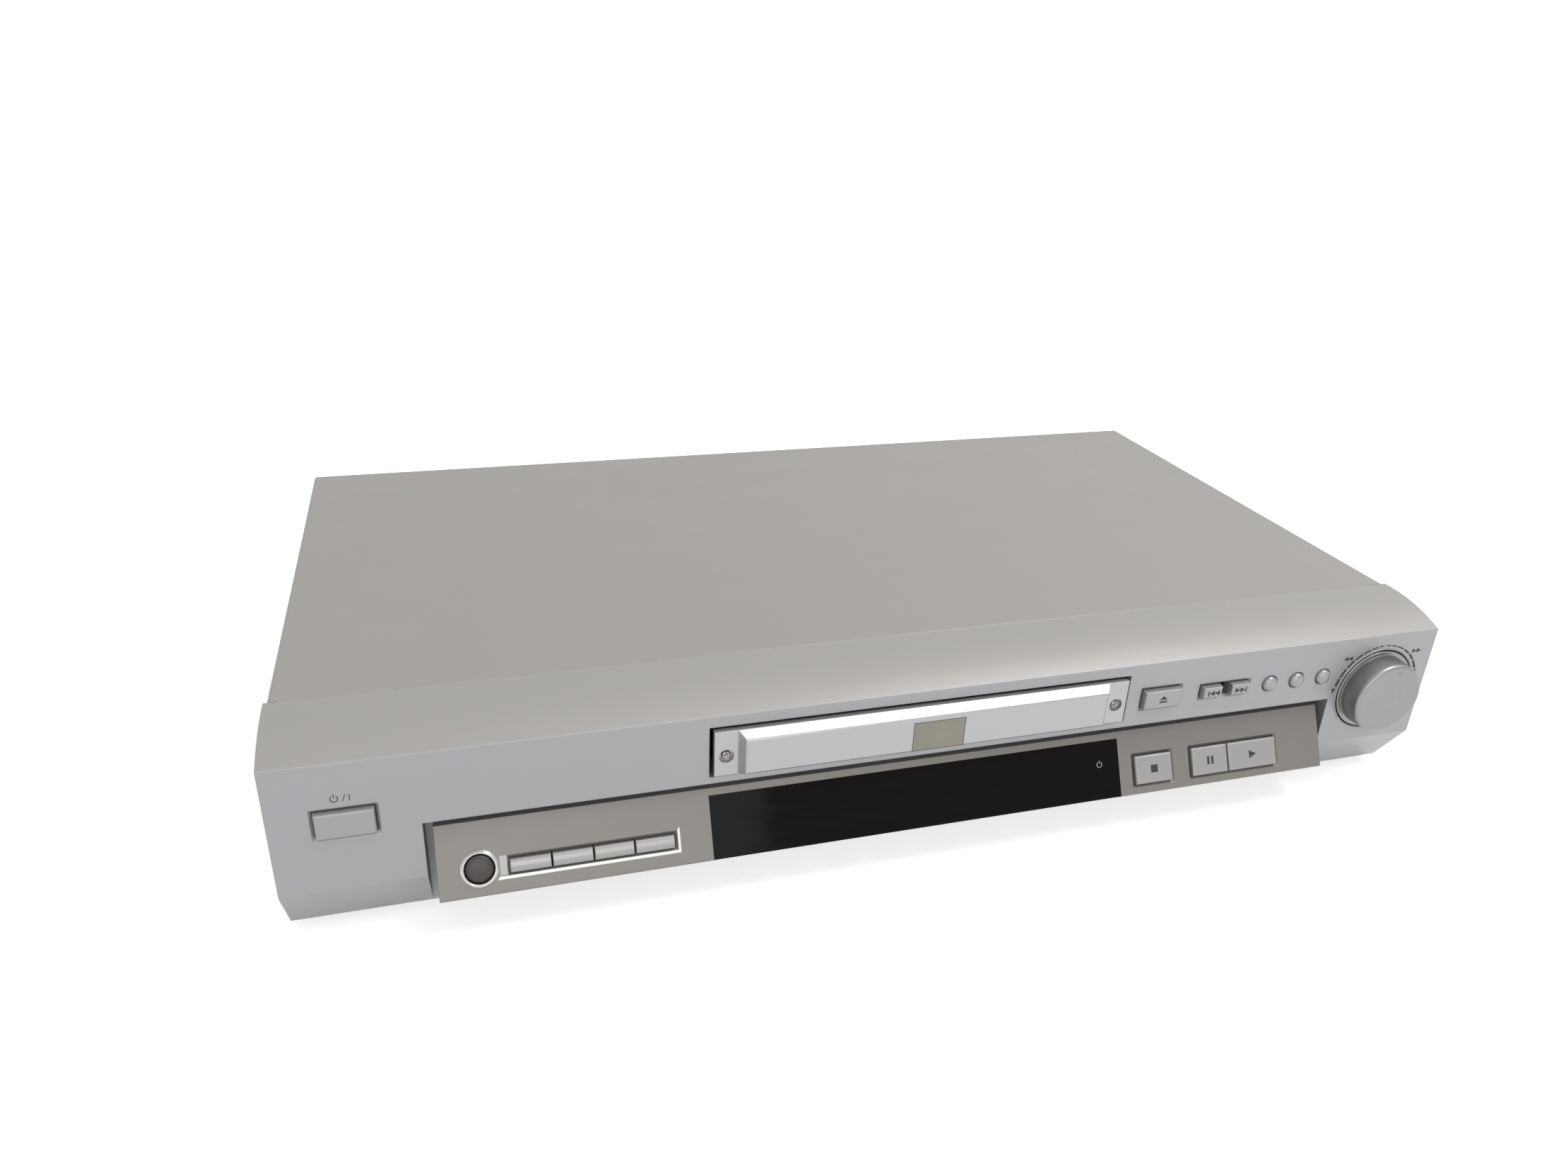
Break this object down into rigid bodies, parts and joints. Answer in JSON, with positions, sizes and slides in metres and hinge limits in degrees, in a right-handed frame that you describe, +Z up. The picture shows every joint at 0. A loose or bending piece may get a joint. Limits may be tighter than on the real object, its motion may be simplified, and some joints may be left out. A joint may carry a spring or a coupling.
{
  "type": "disc player",
  "caption": "Full-width disc player with a loading tray, sloped control console, display window, push buttons and a shuttle knob.",
  "frame": {"origin": "centre of the bounding box at the plane of the feet", "axes": "+X to the right of someone facing the player, +Y from the front towards the rear, +Z up"},
  "size_m": [0.43, 0.2576, 0.075],
  "materials": {
    "chassis_steel": "zinc-plated sheet steel",
    "rear_steel": "black painted sheet steel",
    "cover_paint": "fine-grained silver paint",
    "face_plastic": "silver-painted moulding",
    "console_plastic": "champagne-silver painted moulding",
    "window_gloss": "black acrylic",
    "tube_glass": "dark display glass",
    "board_green": "green circuit board",
    "board_tan": "brown circuit board",
    "switch_black": "black moulding",
    "foot_plastic": "black rubber-faced foot",
    "core_steel": "laminated core with its tape",
    "can_aluminium": "sleeved capacitor cans",
    "socket_black": "black insulators",
    "jack_metal": "plated barrels",
    "loader_plastic": "black moulding",
    "deck_steel": "plated steel",
    "motor_steel": "motor can",
    "belt_rubber": "black rubber",
    "screw_steel": "plated screw",
    "ribbon_plastic": "white flat cable",
    "tray_plastic": "dark grey moulding",
    "tray_front_plastic": "silver-painted moulding",
    "screw_dark": "small plated screw",
    "gear_plastic": "natural acetal",
    "rod_chrome": "ground rod",
    "turntable_plastic": "black rotor cup and turntable",
    "pickup_cast": "die-cast pickup body",
    "lens_glass": "coated lens in its holder",
    "knob_plastic": "silver-painted knob",
    "button_plastic": "silver-painted button",
    "memory_dark": "dark button"
  },
  "bodies": {
    "chassis": {"bottom_chassis": "chassis_steel", "rear_panel": "rear_steel", "top_cover": "cover_paint", "front_panel": "face_plastic", "console_plate": "console_plastic", "display_window": "window_gloss", "display_tube": "tube_glass", "console_board": "board_green", "tact_switches": "switch_black", "switch_boards": "board_green", "shuttle_encoder": "switch_black", "feet": "foot_plastic", "main_board": "board_green", "power_board": "board_tan", "transformer": "core_steel", "capacitors": "can_aluminium", "mains_inlet": "switch_black", "rear_sockets": "socket_black", "rca_barrels": "jack_metal", "loader_frame": "loader_plastic", "clamp_bridge": "deck_steel", "loading_motor": "motor_steel", "loading_belt": "belt_rubber", "cover_screws": "screw_steel", "chassis_screws": "screw_steel", "ribbon_cables": "ribbon_plastic"},
    "tray": {"disc_tray": "tray_plastic", "tray_front": "tray_front_plastic", "tray_front_screws": "screw_dark"},
    "drive_gear": {"drive_gear": "gear_plastic"},
    "pulley_gear": {"pulley_gear": "gear_plastic"},
    "motor_pulley": {"motor_pulley": "gear_plastic"},
    "cam_slider": {"cam_slider": "gear_plastic"},
    "deck": {"lifter_frame": "loader_plastic", "traverse_plate": "deck_steel", "damping_bushes": "belt_rubber", "guide_rods": "rod_chrome", "spindle_motor": "motor_steel", "sled_motor": "motor_steel"},
    "turntable": {"turntable": "turntable_plastic"},
    "pickup": {"optical_pickup": "pickup_cast", "objective_lens": "lens_glass"},
    "lead_screw": {"lead_screw": "rod_chrome"},
    "clamper": {"clamper": "loader_plastic"},
    "shuttle_knob": {"shuttle_knob": "knob_plastic"},
    "power_button": {"power_button": "button_plastic"},
    "open_button": {"open_button": "button_plastic"},
    "skip_back_button": {"skip_back_button": "button_plastic"},
    "skip_forward_button": {"skip_forward_button": "button_plastic"},
    "shuffle_button": {"shuffle_button": "button_plastic"},
    "repeat_button": {"repeat_button": "button_plastic"},
    "segment_button": {"segment_button": "button_plastic"},
    "memory_button": {"memory_button": "memory_dark"},
    "mode_button_1": {"mode_button_1": "button_plastic"},
    "mode_button_2": {"mode_button_2": "button_plastic"},
    "mode_button_3": {"mode_button_3": "button_plastic"},
    "mode_button_4": {"mode_button_4": "button_plastic"},
    "stop_button": {"stop_button": "button_plastic"},
    "pause_button": {"pause_button": "button_plastic"},
    "play_button": {"play_button": "button_plastic"}
  },
  "joints": [
    {"name": "tray_slide", "type": "slide", "parent": "chassis", "child": "tray", "axis": [0, -1, 0], "range_m": [0, 0.14]},
    {"name": "drive_gear_turn", "type": "hinge", "parent": "chassis", "child": "drive_gear", "pos_m": [-0.05, -0.093, 0.042], "axis": [0, 0, 1], "range_deg": [0, 802.16]},
    {"name": "pulley_gear_turn", "type": "hinge", "parent": "chassis", "child": "pulley_gear", "pos_m": [-0.033, -0.093, 0.04], "axis": [0, 0, 1], "range_deg": [-1470.61, 0]},
    {"name": "motor_pulley_turn", "type": "hinge", "parent": "chassis", "child": "motor_pulley", "pos_m": [0.006, -0.093, 0.04], "axis": [0, 0, 1], "range_deg": [-4860.45, 0]},
    {"name": "deck_lift", "type": "hinge", "parent": "chassis", "child": "deck", "pos_m": [0, 0.068, 0.041], "axis": [-1, 0, 0], "range_deg": [0, 5]},
    {"name": "cam_slide", "type": "slide", "parent": "chassis", "child": "cam_slider", "axis": [1, 0, 0], "range_m": [0, 0.02601]},
    {"name": "turntable_spin", "type": "hinge", "parent": "deck", "child": "turntable", "pos_m": [0, -0.04644, 0.04103], "axis": [0, -0.0872, 0.9962], "continuous": true},
    {"name": "pickup_slide", "type": "slide", "parent": "deck", "child": "pickup", "axis": [0, 0.9962, 0.0872], "range_m": [0, 0.034]},
    {"name": "lead_screw_turn", "type": "hinge", "parent": "deck", "child": "lead_screw", "pos_m": [-0.037, -0.01209, 0.03851], "axis": [0, 0.9962, 0.0872], "range_deg": [0, 4080.05]},
    {"name": "clamper_spin", "type": "hinge", "parent": "chassis", "child": "clamper", "pos_m": [0, -0.046, 0.062], "axis": [0, 0, 1], "continuous": true},
    {"name": "power_button_press", "type": "slide", "parent": "chassis", "child": "power_button", "axis": [0, 1, 0], "range_m": [0, 0.001], "stiffness_N_per_m": 400, "springref_m": -0.001},
    {"name": "open_button_press", "type": "slide", "parent": "chassis", "child": "open_button", "axis": [0, 1, 0], "range_m": [0, 0.001], "stiffness_N_per_m": 400, "springref_m": -0.001},
    {"name": "skip_back_button_press", "type": "slide", "parent": "chassis", "child": "skip_back_button", "axis": [0, 1, 0], "range_m": [0, 0.001], "stiffness_N_per_m": 400, "springref_m": -0.001},
    {"name": "skip_forward_button_press", "type": "slide", "parent": "chassis", "child": "skip_forward_button", "axis": [0, 1, 0], "range_m": [0, 0.001], "stiffness_N_per_m": 400, "springref_m": -0.001},
    {"name": "shuffle_button_press", "type": "slide", "parent": "chassis", "child": "shuffle_button", "axis": [0, 1, 0], "range_m": [0, 0.001], "stiffness_N_per_m": 400, "springref_m": -0.001},
    {"name": "repeat_button_press", "type": "slide", "parent": "chassis", "child": "repeat_button", "axis": [0, 1, 0], "range_m": [0, 0.001], "stiffness_N_per_m": 400, "springref_m": -0.001},
    {"name": "segment_button_press", "type": "slide", "parent": "chassis", "child": "segment_button", "axis": [0, 1, 0], "range_m": [0, 0.001], "stiffness_N_per_m": 400, "springref_m": -0.001},
    {"name": "memory_button_press", "type": "slide", "parent": "chassis", "child": "memory_button", "axis": [0, 0.9003, -0.4352], "range_m": [0, 0.001], "stiffness_N_per_m": 400, "springref_m": -0.001},
    {"name": "mode_button_1_press", "type": "slide", "parent": "chassis", "child": "mode_button_1", "axis": [0, 0.9003, -0.4352], "range_m": [0, 0.001], "stiffness_N_per_m": 400, "springref_m": -0.001},
    {"name": "mode_button_2_press", "type": "slide", "parent": "chassis", "child": "mode_button_2", "axis": [0, 0.9003, -0.4352], "range_m": [0, 0.001], "stiffness_N_per_m": 400, "springref_m": -0.001},
    {"name": "mode_button_3_press", "type": "slide", "parent": "chassis", "child": "mode_button_3", "axis": [0, 0.9003, -0.4352], "range_m": [0, 0.001], "stiffness_N_per_m": 400, "springref_m": -0.001},
    {"name": "mode_button_4_press", "type": "slide", "parent": "chassis", "child": "mode_button_4", "axis": [0, 0.9003, -0.4352], "range_m": [0, 0.001], "stiffness_N_per_m": 400, "springref_m": -0.001},
    {"name": "stop_button_press", "type": "slide", "parent": "chassis", "child": "stop_button", "axis": [0, 0.9003, -0.4352], "range_m": [0, 0.001], "stiffness_N_per_m": 400, "springref_m": -0.001},
    {"name": "pause_button_press", "type": "slide", "parent": "chassis", "child": "pause_button", "axis": [0, 0.9003, -0.4352], "range_m": [0, 0.001], "stiffness_N_per_m": 400, "springref_m": -0.001},
    {"name": "play_button_press", "type": "slide", "parent": "chassis", "child": "play_button", "axis": [0, 0.9003, -0.4352], "range_m": [0, 0.001], "stiffness_N_per_m": 400, "springref_m": -0.001},
    {"name": "shuttle_turn", "type": "hinge", "parent": "chassis", "child": "shuttle_knob", "pos_m": [0.1911, -0.12, 0.0455], "axis": [0, 1, 0], "range_deg": [-80, 80], "stiffness_Nm_per_rad": 0.008}
  ],
  "couplings": [
    {"joint": "drive_gear_turn", "follows": "tray_slide", "rad_per_m": 100},
    {"joint": "pulley_gear_turn", "follows": "tray_slide", "rad_per_m": -183.33},
    {"joint": "motor_pulley_turn", "follows": "tray_slide", "rad_per_m": -605.93},
    {"joint": "cam_slide", "follows": "deck_lift", "m_per_rad": 0.29794},
    {"joint": "lead_screw_turn", "follows": "pickup_slide", "rad_per_m": 2094.4}
  ]
}
